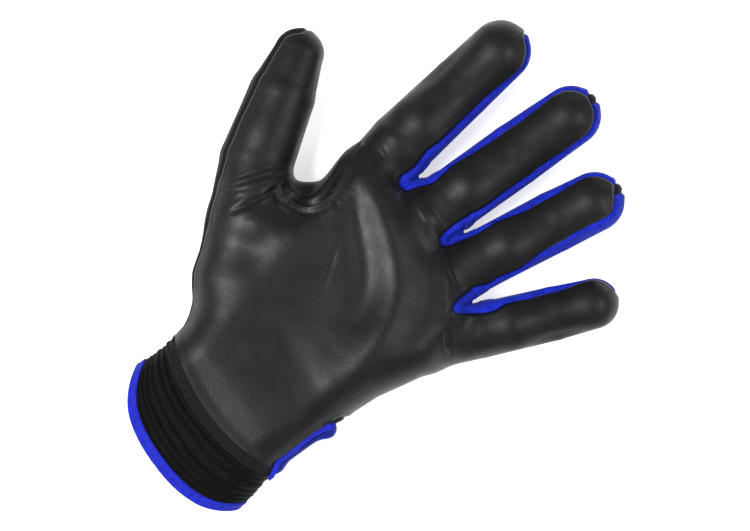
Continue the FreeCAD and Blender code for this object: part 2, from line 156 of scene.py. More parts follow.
def palm_field(p):
    x, y, z = p[..., 0], p[..., 1], p[..., 2]
    wrist = 1 - ramp(*WRIST_BLEND, y)
    knuckles = ramp(16, 66, y)
    level = PALM_LEVEL + (WRIST_LEVEL - PALM_LEVEL) * wrist - 1.6 * knuckles
    half = PALM_HALF + (WRIST_HALF - PALM_HALF) * wrist - 2.4 * knuckles
    mound = sum(height * bell(x, mx, wx) * bell(y, my, wy) for mx, my, wx, wy, height in MOUNDS)
    face = np.abs(z - level) - half - np.where(z > level, mound, 0) * ramp(0, 6, z - level)
    across = polygon_distance(x, y, PALM_CORE) - PALM_OUT + PALM_ROUND
    upward = face + PALM_ROUND
    corner = np.hypot(np.maximum(across, 0), np.maximum(upward, 0))
    return corner + np.minimum(np.maximum(across, upward), 0) - PALM_ROUND


def digit_field(p, digit):
    axis = AXES[digit]
    stations = list(zip(axis["points"], axis["radii"]))
    if digit == "thumb":
        stations = [(np.array(s[:3], float), s[3]) for s in THENAR] + stations[1:]
    distance = None
    for number, ((a, ra), (b, rb)) in enumerate(zip(stations, stations[1:])):
        part = round_cone(p, a, b, ra, rb)
        blend = THUMB_BLEND if digit == "thumb" and number < len(THENAR) else FINGER_BLEND
        distance = part if distance is None else smooth_min(distance, part, blend)
    return distance


def hand_field(p):
    fingers = digit_field(p, DIGITS[1])
    for digit in DIGITS[2:]:
        fingers = smooth_min(fingers, digit_field(p, digit), CROTCH_BLEND)
    distance = smooth_min(palm_field(p), fingers, PALM_BLEND)
    distance = smooth_min(distance, digit_field(p, "thumb"), THENAR_BLEND)
    for start, end, radius in WEBS:
        distance = smooth_min(distance, round_cone(p, start, end, radius, radius), WEB_BLEND)
    x, y, z = p[..., 0], p[..., 1], p[..., 2]
    under_strap = ramp(-24, -15, x) * (1 - ramp(-12, 0, y))
    return -smooth_min(-distance, z - FLAT_BACK - STRAP_LIFT * under_strap, 3.0)


def field_slope(p, step=0.25):
    slope = np.empty_like(p)
    for axis in range(3):
        shift = np.zeros(3)
        shift[axis] = step
        slope[:, axis] = (hand_field(p + shift) - hand_field(p - shift)) / (2 * step)
    return slope


def onto_surface(p, level=0.0):
    """Move points onto a level surface of the hand in two steps, and give the outward normals there."""
    for _ in range(2):
        slope = field_slope(p)
        gap = hand_field(p) - level
        p = p - slope * (gap / np.maximum((slope ** 2).sum(1), 0.05))[:, None]
    normal = field_slope(p)
    return p, normal / lengths(normal)


# ---------------- from a field to a mesh

def surface_net(low, high, pitch, level=0.0):
    """Quads of a level surface on a regular grid, one vertex in each cell that it passes through."""
    axes = [np.arange(a, b + pitch, pitch) for a, b in zip(low, high)]
    yy, zz = np.meshgrid(axes[1], axes[2], indexing="ij")
    value = np.array([hand_field(np.stack([np.full_like(yy, x), yy, zz], -1)) - level for x in axes[0]],
                     np.float32)
    inside = value < 0
    cells = tuple(n - 1 for n in value.shape)
    total = np.zeros(cells + (3,), np.float32)
    count = np.zeros(cells, np.float32)

    def at(grid, offset):
        return grid[tuple(slice(o, o + n) for o, n in zip(offset, cells))]

    # each cell's vertex lies at the mean of the points where the surface crosses the cell's edges
    for first in np.ndindex(2, 2, 2):
        for axis in range(3):
            if first[axis]:
                continue
            second = tuple(c + (k == axis) for k, c in enumerate(first))
            crossed = at(inside, first) != at(inside, second)
            va, vb = at(value, first), at(value, second)
            point = np.broadcast_to(np.array(first, np.float32), cells + (3,)).copy()
            point[..., axis] = np.where(crossed, va / np.where(crossed, va - vb, 1), 0)
            total += point * crossed[..., None]
            count += crossed
    used = count > 0
    number = np.full(cells, -1)
    number[used] = np.arange(used.sum())
    where = np.argwhere(used)
    verts = (where + total[used] / count[used][:, None]) * pitch + np.array([a[0] for a in axes])
    # and a quad joins the four cells round each grid edge that the surface crosses
    quads = []
    step = np.eye(3, dtype=int)
    for axis in range(3):
        b, c = step[(axis + 1) % 3], step[(axis + 2) % 3]
        span = [slice(1, n) for n in cells]
        span[axis] = slice(0, cells[axis])
        ahead = list(span)
        ahead[axis] = slice(1, cells[axis] + 1)
        here, there = inside[tuple(span)], inside[tuple(ahead)]
        spots = np.argwhere(here != there) + 1 - step[axis]
        out = here[here != there]
        quad = np.stack([number[tuple(r.T)] for r in (spots - b - c, spots - c, spots, spots - b)], 1)
        quad[~out] = quad[~out][:, ::-1]
        quads.append(quad)
    return verts, np.concatenate(quads)


def triangles(quads):
    return np.concatenate([quads[:, [0, 1, 2]], quads[:, [0, 2, 3]]])


class Skin:
    """Triangles with values kept at their vertices, which can be cut where a value changes sign."""

    def __init__(self, verts, tris, values):
        self.verts, self.tris, self.values = verts, tris, values

    def cut(self, name):
        """Split every triangle that the zero line of a value crosses."""
        value = self.values[name]
        sign = value[self.tris] > 0
        lone = sign.sum(1)
        mixed = (lone > 0) & (lone < 3)
        if not mixed.any():
            return
        tri, sign, lone = self.tris[mixed], sign[mixed], lone[mixed]
        first = np.where(lone == 1, sign.argmax(1), (~sign).argmax(1))
        a, b, c = (tri[np.arange(len(tri)), (first + k) % 3] for k in range(3))
        pairs = np.sort(np.concatenate([np.stack([a, b], 1), np.stack([a, c], 1)]), axis=1)
        unique, back = np.unique(pairs, axis=0, return_inverse=True)
        back = back.ravel()
        v0, v1 = value[unique[:, 0]], value[unique[:, 1]]
        t = np.clip(v0 / (v0 - v1), 0.02, 0.98)
        start = len(self.verts)

        def between(array):
            w = t if array.ndim == 1 else t[:, None]
            return array[unique[:, 0]] * (1 - w) + array[unique[:, 1]] * w

        self.verts = np.concatenate([self.verts, between(self.verts)])
        for key, array in self.values.items():
            self.values[key] = np.concatenate([array, between(array)])
        self.values[name][start:] = 0
        ab, ac = back[:len(a)] + start, back[len(a):] + start
        new = np.concatenate([np.stack([a, ab, ac], 1), np.stack([ab, b, c], 1), np.stack([ab, c, ac], 1)])
        self.tris = np.concatenate([self.tris[~mixed], new])

    def side(self, name):
        """For each triangle, whether a value is positive on it."""
        return self.values[name][self.tris].sum(1) > 0


# ---------------- seams

BACK_SLOPE = -0.57           # upward slope of the surface at which the back fabric mostly begins
# Places on the outline: x, y, slope at which the leather ends there, and at which the back begins where
# that differs.
EDGE_PLACES = [
    (-103, 66, 0.62), (-97, 50, 0.62), (-90, 36, 0.60), (-78, 18, 0.55), (-66, 2, 0.45), (-48, -17, 0.35),
    (-33, -34, 0.25), (-28, -50, 0.2), (-70, 52, -0.4), (-54, 35, -0.5), (-48, 52, -0.55),
    (-50, 73, BACK_SLOPE), (-24, 75, 0.5, BACK_SLOPE), (6, 75, 0.55, BACK_SLOPE),
    (33, 61, 0.65, BACK_SLOPE), (58, 64, BACK_SLOPE), (49, 42, BACK_SLOPE), (43, 15, -0.5), (40, 0, -0.3),
    (39, -12, 0.45), (39, -24, 0.5), (39, -34, 0.45), (41, -50, 0.35),
]
KNIT_STEP = 0.25             # where the two slopes differ by less, leather and back meet with no knit between
# Outline of the gusset between thumb and index finger; its inner side is a gathered seam.
GUSSET = [(-54.5, 32), (-52, 29.8), (-49.1, 28.9), (-44.8, 30.2), (-41, 32.9), (-39.1, 36.8), (-38.9, 42),
          (-40.6, 47), (-42.6, 51.5), (-44.9, 56.5), (-47.3, 62.4), (-48.9, 68), (-62, 68), (-62, 44)]
# Slope at which the leather ends on each side of a digit, at distances past its root plane.
DIGIT_SEAMS = {
    "thumb": {"radial": [(0, 0.6), (60, 0.62)], "ulnar": [(0, -0.45), (20, -0.4), (60, -0.4)]},
    "index": {"radial": [(0, BACK_SLOPE)],
              "ulnar": [(-6, 0.5), (0, 0.62), (6, 0.71), (11, 0.69), (19, 0.63), (29, 0.52), (50, 0.5),
                        (64, 0.56)]},
    "middle": {"radial": [(0, 0.45), (8, 0.54), (30, 0.5), (60, 0.52), (74, 0.6)],
               "ulnar": [(-4, 0.6), (2, 0.68), (8, 0.69), (16, 0.65), (35, 0.5), (55, 0.52), (70, 0.68)]},
    "ring": {"radial": [(0, 0.45), (8, 0.52), (45, 0.5), (60, 0.56)],
             "ulnar": [(-4, 0.5), (2, 0.58), (10, 0.6), (27, 0.66), (40, 0.72), (52, 0.8)]},
    "little": {"radial": [(-4, 0.65), (2, 0.76), (7, 0.77), (17, 0.62), (27, 0.46), (40, 0.43), (52, 0.3)],
               "ulnar": [(0, BACK_SLOPE)]},
}
THUMB_BACK = {"radial": 0.6, "ulnar": -0.42}    # slope at which the back of the thumb begins
TIP_GAP = 2.4                # half width of the black stretch between the two knit strips at a fingertip
GUSSET_SEAM = 12             # how many of the gusset's corners lie on the gathered seam
# Knit lobes in the crotches, seen from above: two ends of the line inside each, and its half widths.
LOBES = [((-23.8, 72.8), (-22.0, 83), 3.3, 4.3), ((5.2, 71.0), (6.3, 83), 2.5, 3.4),
         ((31.3, 59.6), (34.6, 69.5), 2.6, 5.4)]
# Edge of the leather at the cuff: y = LEATHER_EDGE at its lowest, rising towards both sides.
LEATHER_EDGE, LEATHER_EDGE_X, LEATHER_EDGE_RISE = -49.5, 5.0, 0.0058
BACK_EDGE = -45.0


def leather_edge(x, z):
    """Y of the leather's edge at the cuff; level with it on the back."""
    front = LEATHER_EDGE + LEATHER_EDGE_RISE * (x - LEATHER_EDGE_X) ** 2
    return front * ramp(12, 26, z) + BACK_EDGE * (1 - ramp(12, 26, z))


def edge_slopes(p):
    """Upward slopes at which the leather ends and the back begins, near each point."""
    front, back, total = np.zeros((3, len(p)))
    for x, y, *slopes in EDGE_PLACES:
        weight = ((p[:, 0] - x) ** 2 + (p[:, 1] - y) ** 2 + 4.0) ** -3
        front += weight * slopes[0]
        back += weight * slopes[-1]
        total += weight
    front, back = front / total, back / total
    together = front - back < KNIT_STEP
    front[together] = back[together]
    return front, back


def lobe_distance(x, y, start, end, half, half_end):
    """Signed distance in plan from a crotch lobe, negative inside."""
    ex, ey = end[0] - start[0], end[1] - start[1]
    t = np.clip(((x - start[0]) * ex + (y - start[1]) * ey) / (ex * ex + ey * ey), 0, 1)
    return np.hypot(x - start[0] - ex * t, y - start[1] - ey * t) - half - (half_end - half) * t


def smooth_line(line, closed=False):
    """Corners of a line rounded off by cutting them three times."""
    corners = [tuple(map(float, c)) for c in line]
    for _ in range(3):
        pairs = list(zip(corners, corners[1:] + (corners[:1] if closed else [])))
        cut = []
        for (ax, ay), (bx, by) in pairs:
            cut += [(ax * (1 - t) + bx * t, ay * (1 - t) + by * t) for t in (0.25, 0.75)]
        corners = cut if closed else [corners[0]] + cut[1:-1] + [corners[-1]]
    return corners


def noise_at(points, size, seed):
    """Smooth noise from -1 to 1 with features of about a given size."""
    shift = Vector((seed * 17.3, seed * 5.1, seed * 9.7))
    return np.array([noise.noise(Vector(p) / size + shift) for p in points])


def digit_coordinates(p):
    """Nearest digit of each point, and its distance past each digit's root plane."""
    gaps, past = [], []
    for digit in DIGITS:
        axis = AXES[digit]
        rel = p - axis["plane"]
        along = rel @ axis["along"]
        across = np.linalg.norm(rel - along[:, None] * axis["along"], axis=1) / axis["radii"][1]
        too_far = (across > THUMB_AREA) & (digit == "thumb")
        gaps.append(across + np.maximum(-along, 0) / 10 + 100 * too_far)
        past.append(along)
    return np.argmin(gaps, axis=0), np.array(past)


SKIN_BOX = (-110, -60, -3), (80, 164, 43)
ELSEWHERE = -8.0             # value of a digit's measures on the skin of the others
LOBE_PULL, LOBE_REACH = 1.3, 8.0        # how strongly, and how far off, a crotch lobe turns the leather's edge
SEAM_WAVER = 0.02
LOBE_Z, GUSSET_Z = 6, 7      # the lobes and the gusset lie above these heights


def digit_values(nearest, past):
    """Distances past the root plane and past the middle seam of each point's own digit."""
    values = {}
    for number, digit in enumerate(DIGITS):
        own = np.where(nearest == number, past[number], ELSEWHERE)
        values[f"past_{digit}"] = own
        values[f"middle_{digit}"] = np.where(own > 0, own - DIGIT_SHAPE[digit]["root_zone"], ELSEWHERE)
    return values


def make_skin(pitch):
    """The hand's whole surface, with the values that its seams follow."""
    verts, quads = surface_net(*SKIN_BOX, pitch)
    verts, normal = onto_surface(verts)
    nearest, past = digit_coordinates(verts)
    values = digit_values(nearest, past)
    straight = normal.copy()
    front, back = edge_slopes(verts)
    tip_gap = np.full(len(verts), -1.0)
    for number, digit in enumerate(DIGITS):
        mine, axis, along = nearest == number, AXES[digit], past[number]
        # on a digit's sides the slope is measured across its axis only
        turned = normal - (normal @ axis["along"])[:, None] * axis["along"]
        turned /= np.maximum(lengths(turned), 1e-3)
        reach = np.linalg.norm(axis["points"][3] - axis["points"][1])
        tip = np.linalg.norm(axis["points"][3] - axis["plane"])
        weight = (ramp(0, 6, along) * (1 - ramp(tip - 4, tip, along)) * (mine & (along > 0)))[:, None]
        straight = straight * (1 - weight) + turned * weight
        across = (verts - axis["points"][1]) @ axis["side"]
        turn = ramp(-2.5, 2.5, across)
        seams = DIGIT_SEAMS[digit]
        leather_ends = ((1 - turn) * np.interp(along, *zip(*seams["radial"]))
                        + turn * np.interp(along, *zip(*seams["ulnar"])))
        backs = THUMB_BACK if digit == "thumb" else {"radial": BACK_SLOPE, "ulnar": BACK_SLOPE}
        back_begins = (1 - turn) * backs["radial"] + turn * backs["ulnar"]
        weight = ramp(-8, -3, along) * mine
        front = front * (1 - weight) + leather_ends * weight
        back = back * (1 - weight) + np.minimum(back_begins, leather_ends) * weight
        if digit in ("middle", "ring"):
            at_tip = mine & (along > reach + 0.5 * axis["radii"][3])
            tip_gap[at_tip] = 0.15 * (TIP_GAP - np.abs(across[at_tip]))
    x, y, z = verts.T
    lobe = np.min([lobe_distance(x, y, *each) for each in LOBES], axis=0)
    behind = 1 - ramp(-5.0, -0.5, past.max(0))
    leather = straight[:, 2] - front + LOBE_PULL * behind * bell(lobe, 0, LOBE_REACH)
    leather += SEAM_WAVER * noise_at(verts, 2.4, 7)
    values["front"] = np.where(z > LOBE_Z, np.minimum(leather, 0.1 * lobe), leather)
    values["back"] = np.maximum(back - straight[:, 2], np.minimum(tip_gap, -0.5 * values["front"] - 0.01))
    gusset = -polygon_distance(x, y, smooth_line(GUSSET, True))
    values["gusset"] = np.where(z > GUSSET_Z, gusset, -1.0)
    values["cuff"] = y - leather_edge(x, z)
    values["normal"] = normal
    return Skin(verts, triangles(quads), values)


# ---------------- folds and creases

# Soft swells and hollows of the palm: points from above, height, half width.
SWELLS = [
    ([(-43, 77), (-36, 67), (-28, 60), (-16, 55.5), (-1, 50), (11, 43), (21, 30), (26, 12), (26, 0)], 2.8, 7.0),
    ([(-24, 75), (-10, 71), (2, 68), (13, 64), (25, 58), (35, 49)], 2.0, 4.2),
    ([(-26, 70), (-14, 65), (0, 60), (12, 53), (26, 42)], 0.4, 3.5),
    ([(-36, 57), (-25, 47), (-10, 41), (2, 34), (10, 22), (12, 8)], -1.1, 5.0),
    ([(-64, 10), (-58, 21), (-55, 33)], 1.0, 4.0),
    ([(-38, 40), (-26, 32), (-14, 20), (-8, 8)], -0.6, 6.0),
    ([(-50, 10), (-40, 16), (-32, 26)], 0.8, 6.0),
    ([(-55, -8), (-47, 0), (-38, 4), (-30, 4)], -0.9, 7.0),
    ([(-30, -30), (-24, -12), (-12, 2)], 0.5, 7.0),
    ([(30, -20), (26, 0), (30, 20)], 0.7, 8.0),
]
# Creases: points from above, depth, half width.
FOLDS = [
    ([(-46, 73.5), (-37, 73), (-29, 73.2)], 0.22, 0.6),
    ([(-44, 71), (-37, 70.6), (-31, 71)], 0.16, 0.6),
    ([(-18, 76.3), (-11.7, 73.8), (-4, 74.8), (2, 76)], 0.25, 0.6),
    ([(-18, 73.6), (-10, 71), (-2, 71)], 0.28, 0.6),
    ([(-12, 68.5), (-5, 68), (0, 69)], 0.16, 0.6),
    ([(6.4, 68), (12.7, 64.5), (25, 61.8)], 0.28, 0.6),
    ([(9.5, 71), (17, 66.5), (27, 64.5)], 0.25, 0.6),
    ([(29.6, 56.4), (36, 50.5), (41.5, 46.2), (51.6, 46)], 1.0, 1.1),
    ([(34, 61), (42, 54), (51, 52)], 0.2, 0.7),
    ([(-66, 9), (-61, 23), (-58, 34)], 0.42, 0.7),
    ([(-67.5, 12), (-63, 25), (-60, 35)], 0.3, 0.6),
    ([(-65, 7), (-60, 17), (-57.5, 25)], 0.24, 0.6),
    ([(-56, 7), (-54.1, 16), (-53.0, 27.5)], 1.1, 1.0),
    ([(-53.4, 10), (-51, 18), (-50.6, 25)], 0.3, 0.7),
    ([(-40, 47.5), (-34, 45), (-28.4, 42), (-20, 34), (-13, 26), (-8, 18)], 0.28, 0.7),
    ([(-38, 45), (-31, 42), (-24, 35.5), (-17, 29)], 0.24, 0.6),
    ([(-32, 46), (-24, 40), (-16, 31.5)], 0.2, 0.6),
    ([(-39, 50), (-34, 47.5), (-29, 45)], 0.24, 0.6),
]
FOLD_SHOULDER = 0.28         # height of a crease's raised sides, as a share of its depth
# Each digit is full at its base and tip and drawn in between them: height, place, half width.
BASE_FULL, TIP_FULL, WAIST = (1.3, 13, 6.5), (1.1, -1, 6), (1.3, 0.6, 0.2)
THUMB_SHARE = 0.3            # the thumb has this much of that
SEAM_GROOVE, SEAM_WIDTH = 0.75, 0.75
SEAM_ROLL, SEAM_ROLL_AT, SEAM_ROLL_WIDTH = 0.28, 2.0, 1.1
PUCKER, PUCKER_REACH = 0.10, 2.6
EDGE_LIFT = 0.55             # the leather's edge stands this far off the cuff


def line_distance(x, y, line):
    """Distance in plan to a smooth line through a few points, place along it, and its length."""
    corners = smooth_line(line)
    best = np.full(len(x), 1e9)
    place = np.zeros(len(x))
    gone = 0.0
    for (ax, ay), (bx, by) in zip(corners, corners[1:]):
        ex, ey = bx - ax, by - ay
        length = math.hypot(ex, ey)
        t = np.clip(((x - ax) * ex + (y - ay) * ey) / max(length ** 2, 1e-9), 0, 1)
        gap = np.hypot(x - ax - ex * t, y - ay - ey * t)
        closer = gap < best
        best[closer] = gap[closer]
        place[closer] = gone + t[closer] * length
        gone += length
    return best, place, gone


def distance_to(points, marks):
    """Distance from each point to the nearest marked one."""
    tree = KDTree(len(marks))
    for number, mark in enumerate(marks):
        tree.insert(mark, number)
    tree.balance()
    return np.array([tree.find(p)[2] for p in points])


def relief(skin):
    """Height of the finished surface above the smooth one: folds, seams and soft wrinkles."""
    p, normal = skin.verts, skin.values["normal"]
    x, y = p[:, 0], p[:, 1]
    height = np.zeros(len(p))
    facing = ramp(0.15, 0.6, normal[:, 2])
    wander = noise_at(p, 6.0, 1)
    calm = ramp(1, 9, skin.values["cuff"])
    for line, rise, width in SWELLS:
        gap, place, length = line_distance(x, y, line)
        ends = ramp(0, 0.25, place / length) * (1 - ramp(0.75, 1, place / length))
        height += rise * bell(gap + 0.3 * wander, 0, width) * (0.25 + 0.75 * ends) * facing
    for line, depth, width in FOLDS:
        gap, place, length = line_distance(x, y, line)
        near = gap < 5 * width
        g = np.abs(gap[near] + 0.7 * wander[near]) / width
        fade = np.sin(np.pi * np.clip(place[near] / length * 0.9 + 0.05, 0, 1)) ** 0.6
        shape = -bell(g, 0, 1) + FOLD_SHOULDER * bell(g, 2.1, 1)
        height[near] += depth * shape * fade * facing[near]
    for digit in DIGITS:
        axis = AXES[digit]
        mine = ramp(-2, 6, skin.values[f"past_{digit}"])
        along = (p - axis["plane"]) @ axis["along"]
        end = np.linalg.norm(axis["points"][3] - axis["points"][1])
        full = (BASE_FULL[0] * bell(along, *BASE_FULL[1:])
                + TIP_FULL[0] * bell(along, end + TIP_FULL[1], TIP_FULL[2]))
        waist = WAIST[0] * bell(along, WAIST[1] * end, WAIST[2] * end)
        height += mine * (full - waist) * facing * (THUMB_SHARE if digit == "thumb" else 1.0)
    height += gusset_relief(skin)
    height += crotch_relief(skin)
    seam = np.zeros(len(p), bool)
    for name in ("front", "back"):
        seam |= (skin.values[name] == 0) & (skin.values["cuff"] > 0)
    gap = distance_to(p, p[seam])
    height += SEAM_ROLL * bell(gap, SEAM_ROLL_AT, SEAM_ROLL_WIDTH) - SEAM_GROOVE * bell(gap, 0, SEAM_WIDTH)
    height += PUCKER * noise_at(p, 1.9, 2) * bell(gap, 0, PUCKER_REACH)
    height += 0.2 * noise_at(p, 30.0, 3) * ramp(-0.5, 0.5, normal[:, 2])
    height += 0.05 * noise_at(p, 7.0, 4)
    return height * calm + EDGE_LIFT * (1 - ramp(0, 5, skin.values["cuff"]))


def gusset_relief(skin):
    """Rolled lip, deep seam and gathers where the palm leather meets the thumb gusset."""
    x, y, z = skin.verts.T
    gap, place, length = line_distance(x, y, GUSSET[:GUSSET_SEAM])
    ends = ramp(0, 6, place) * (1 - ramp(length - 3, length, place))
    inside = skin.values["gusset"] > 0
    over = ramp(8, 13, z)
    lip = 1.05 * bell(gap, 1.7, 1.1) * (1 + 0.10 * np.cos(place * 3.4))
    seam = -1.4 * bell(gap, 0, 0.75)
    gathers = 0.16 * np.cos(place * 2.4 + 1.5 * np.sin(place * 0.7)) * ramp(2.5, 4.5, gap) * np.exp(-gap / 5.0)
    outer = lip + seam + gathers - 0.5 * bell(gap, 4.0, 1.5)
    inner = seam + 0.7 * bell(gap, 2.6, 1.3) * (1 + 0.08 * np.cos(place * 3.0))
    return np.where(gap < 16, np.where(inside, inner, outer), 0) * over * ends


def crotch_relief(skin):
    """A pleat along the middle of each knit lobe between two fingers."""
    x, y, z = skin.verts.T
    height = np.zeros(len(x))
    for start, end, half, half_end in LOBES:
        stop = tuple(a + (b - a) * 0.8 for a, b in zip(start, end))
        gap, place, length = line_distance(x, y, [start, stop])
        inside = np.clip(-lobe_distance(x, y, start, end, half, half_end) / half, 0, 1)
        pleat = -1.9 * bell(gap, 0, 0.8) * ramp(0.0, 0.35, place / length)
        height += (pleat + 0.6 * np.sqrt(inside)) * ramp(6, 12, z) * (inside > 0)
    return height


def vertex_normals(verts, tris):
    a, b, c = (verts[tris[:, k]] for k in range(3))
    face = np.cross(b - a, c - a)
    total = np.zeros_like(verts)
    for k in range(3):
        np.add.at(total, tris[:, k], face)
    return total / np.maximum(lengths(total), 1e-12)


# ---------------- materials

def new_material(name):
    material = bpy.data.materials.new(name)
    material.use_nodes = True
    tree = material.node_tree
    return material, tree, tree.nodes["Principled BSDF"]


def node(tree, kind, **settings):
    item = tree.nodes.new(kind)
    for key, value in settings.items():
        if key in item.inputs:
            item.inputs[key].default_value = value
        else:
            setattr(item, key, value)
    return item


def object_place(tree, scale=(1, 1, 1), turn=(0, 0, 0)):
    """Object coordinates in millimetres, turned and scaled."""
    coordinates = node(tree, "ShaderNodeTexCoord")
    mapping = node(tree, "ShaderNodeMapping")
    mapping.inputs["Scale"].default_value = [s / MM for s in scale]
    mapping.inputs["Rotation"].default_value = turn
    tree.links.new(coordinates.outputs["Object"], mapping.inputs["Vector"])
    return mapping.outputs["Vector"]


def add_noise(tree, vector, scale, detail=3.0, rough=0.55):
    item = node(tree, "ShaderNodeTexNoise", Scale=scale, Detail=detail, Roughness=rough)
    tree.links.new(vector, item.inputs["Vector"])
    return item.outputs["Fac"]


def add_cells(tree, vector, scale):
    item = node(tree, "ShaderNodeTexVoronoi", Scale=scale)
    tree.links.new(vector, item.inputs["Vector"])
    return item.outputs["Distance"]


def arithmetic(tree, operation, a, b):
    item = node(tree, "ShaderNodeMath", operation=operation)
    for socket, value in zip(item.inputs, (a, b)):
        if isinstance(value, (int, float)):
            socket.default_value = value
        else:
            tree.links.new(value, socket)
    return item.outputs[0]


def add_ramp(tree, value, low, high, stops=(0.3, 0.7)):
    item = node(tree, "ShaderNodeValToRGB")
    item.color_ramp.elements[0].position, item.color_ramp.elements[1].position = stops
    item.color_ramp.elements[0].color = (*low, 1)
    item.color_ramp.elements[1].color = (*high, 1)
    tree.links.new(value, item.inputs["Fac"])
    return item.outputs["Color"]


def add_bump(tree, shader, heights):
    """Chain of bumps: (height, strength, depth in millimetres)."""
    normal = None
    for value, strength, depth in heights:
        item = node(tree, "ShaderNodeBump", Strength=strength, Distance=depth * MM)
        tree.links.new(value, item.inputs["Height"])
        if normal is not None:
            tree.links.new(normal, item.inputs["Normal"])
        normal = item.outputs["Normal"]
    tree.links.new(normal, shader.inputs["Normal"])


def leather_material(name, dark, light, gloss=(0.40, 0.50)):
    """Thin smooth synthetic leather: fine pebble grain, broad satin highlights."""
    material, tree, shader = new_material(name)
    place = object_place(tree)
    grain = add_cells(tree, place, 1.25)
    pores = add_noise(tree, place, 2.6, detail=4.0)
    clouds = add_noise(tree, place, 0.07)
    tree.links.new(add_ramp(tree, clouds, dark, light), shader.inputs["Base Color"])
    smears = add_ramp(tree, add_noise(tree, place, 0.16, detail=4.0), *((rough,) * 3 for rough in gloss))
    tree.links.new(smears, shader.inputs["Roughness"])
    shader.inputs["Specular IOR Level"].default_value = 0.27
    dents = add_noise(tree, place, 0.35)
    add_bump(tree, shader, [(grain, 0.35, 0.08), (pores, 0.3, 0.06), (dents, 0.2, 0.3)])
    return material


def knit_material(name, dark, light, pitch=0.62, rough=0.85, sheen=0.12, tint=(1, 1, 1), shine=0.15):
    """Fine knit: small staggered loops, slightly longer one way, with soft mottling."""
    material, tree, shader = new_material(name)
    place = object_place(tree, scale=(1, 0.6, 1), turn=(0.35, 0.2, 0.6))
    weave = arithmetic(tree, "MULTIPLY", add_cells(tree, place, 1 / pitch), 1.3)
    clouds = add_noise(tree, object_place(tree), 0.25, detail=5.0, rough=0.65)
    mix = arithmetic(tree, "SUBTRACT", arithmetic(tree, "ADD", arithmetic(tree, "MULTIPLY", clouds, 0.6), 0.4),
                     arithmetic(tree, "MULTIPLY", weave, 0.4))
    tree.links.new(add_ramp(tree, mix, dark, light, (0.25, 0.8)), shader.inputs["Base Color"])
    shader.inputs["Roughness"].default_value = rough
    shader.inputs["Specular IOR Level"].default_value = shine
    shader.inputs["Sheen Weight"].default_value = sheen
    shader.inputs["Sheen Roughness"].default_value = 0.5
    shader.inputs["Sheen Tint"].default_value = (*tint, 1)
    add_bump(tree, shader, [(weave, -0.5, 0.16), (clouds, 0.3, 0.3)])
    return material


BLUE_TINT = (0.3, 0.4, 1)
LEATHER = leather_material("palm_leather", (0.0035, 0.0035, 0.0036), (0.006, 0.006, 0.006))
BLUE_KNIT = knit_material("blue_knit", (0.004, 0.008, 0.22), (0.010, 0.030, 0.62), tint=BLUE_TINT)
BLUE_BINDING = knit_material("blue_binding", (0.006, 0.010, 0.26), (0.014, 0.030, 0.60), 0.5, tint=BLUE_TINT)
# The strap's knit is the blue knit made darker: painted shade for the strap where it turns round the side of
# the wrist.
BLUE_KNIT_PAINTED_SHADE = knit_material("strap_web_painted_shade", (0.004, 0.008, 0.14), (0.010, 0.022, 0.38), 0.9, tint=BLUE_TINT)
BACK_FABRIC = knit_material("back_fabric", (0.004,) * 3, (0.012,) * 3, 0.7, sheen=0.05)
NEOPRENE = knit_material("cuff_neoprene", (0.002,) * 3, (0.006, 0.006, 0.0055), 0.5, 0.7, 0.01, shine=0.06)
TAPE = knit_material("join_tape", (0.003,) * 3, (0.009,) * 3, 0.9, sheen=0.03)
THREAD = knit_material("black_thread", (0.004,) * 3, (0.012,) * 3, 0.3, 0.6, 0.05)
PURPLE_THREAD = knit_material("binding_thread", (0.05, 0.02, 0.16), (0.11, 0.05, 0.30), 0.3, 0.6)
LINING = knit_material("lining", (0.010, 0.010, 0.011), (0.026, 0.026, 0.028), 1.1, sheen=0.2)
HOOKS = knit_material("hook_tape", (0.004,) * 3, (0.02,) * 3, 0.8, 0.7)


# ---------------- making pieces

def mesh_piece(name, verts, faces, material, loop_normals=None):
    """Object from millimetre vertices and faces, in metres."""
    mesh = bpy.data.meshes.new(name)
    mesh.from_pydata((np.asarray(verts) * MM).tolist(), [], [list(map(int, f)) for f in faces])
    mesh.materials.append(material)
    mesh.polygons.foreach_set("use_smooth", [True] * len(mesh.polygons))
    mesh.update()
    if loop_normals is not None:
        mesh.normals_split_custom_set(loop_normals.tolist())
    obj = bpy.data.objects.new(name, mesh)
    bpy.context.scene.collection.objects.link(obj)
    return obj


def panel_piece(name, skin, normals, chosen, material, thickness=0.9):
    """One panel of the skin, with its cut edges turned in by a thickness."""
    tris = skin.tris[chosen]
    used, local = np.unique(tris, return_inverse=True)
    local = local.reshape(-1, 3)
    verts, normal = skin.verts[used], normals[used]
    edges = np.concatenate([local[:, [0, 1]], local[:, [1, 2]], local[:, [2, 0]]])
    key = np.sort(edges, axis=1)
    _, inverse, count = np.unique(key, axis=0, return_inverse=True, return_counts=True)
    border = edges[count[inverse.ravel()] == 1]
    rim = np.unique(border)
    lower = np.full(len(used), -1)
    lower[rim] = len(used) + np.arange(len(rim))
    verts = np.concatenate([verts, verts[rim] - normal[rim] * thickness])
    skirts = np.stack([border[:, 1], border[:, 0], lower[border[:, 0]], lower[border[:, 1]]], 1)
    a, b, c = (verts[skirts[:, k]] for k in range(3))
    side = np.cross(b - a, c - a)
    side /= np.maximum(lengths(side), 1e-9)
    loops = np.concatenate([normal[local.ravel()], np.repeat(side, 4, axis=0)])
    return mesh_piece(name, verts, local.tolist() + skirts.tolist(), material, loops)


def bend_root(piece, digit):
    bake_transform(piece)


def bend_middle(piece, digit):
    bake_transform(piece)


def cut_skin(skin, seams):
    for name in seams:
        skin.cut(name)


DIGIT_CUTS = [f"past_{digit}" for digit in DIGITS] + [f"middle_{digit}" for digit in DIGITS]
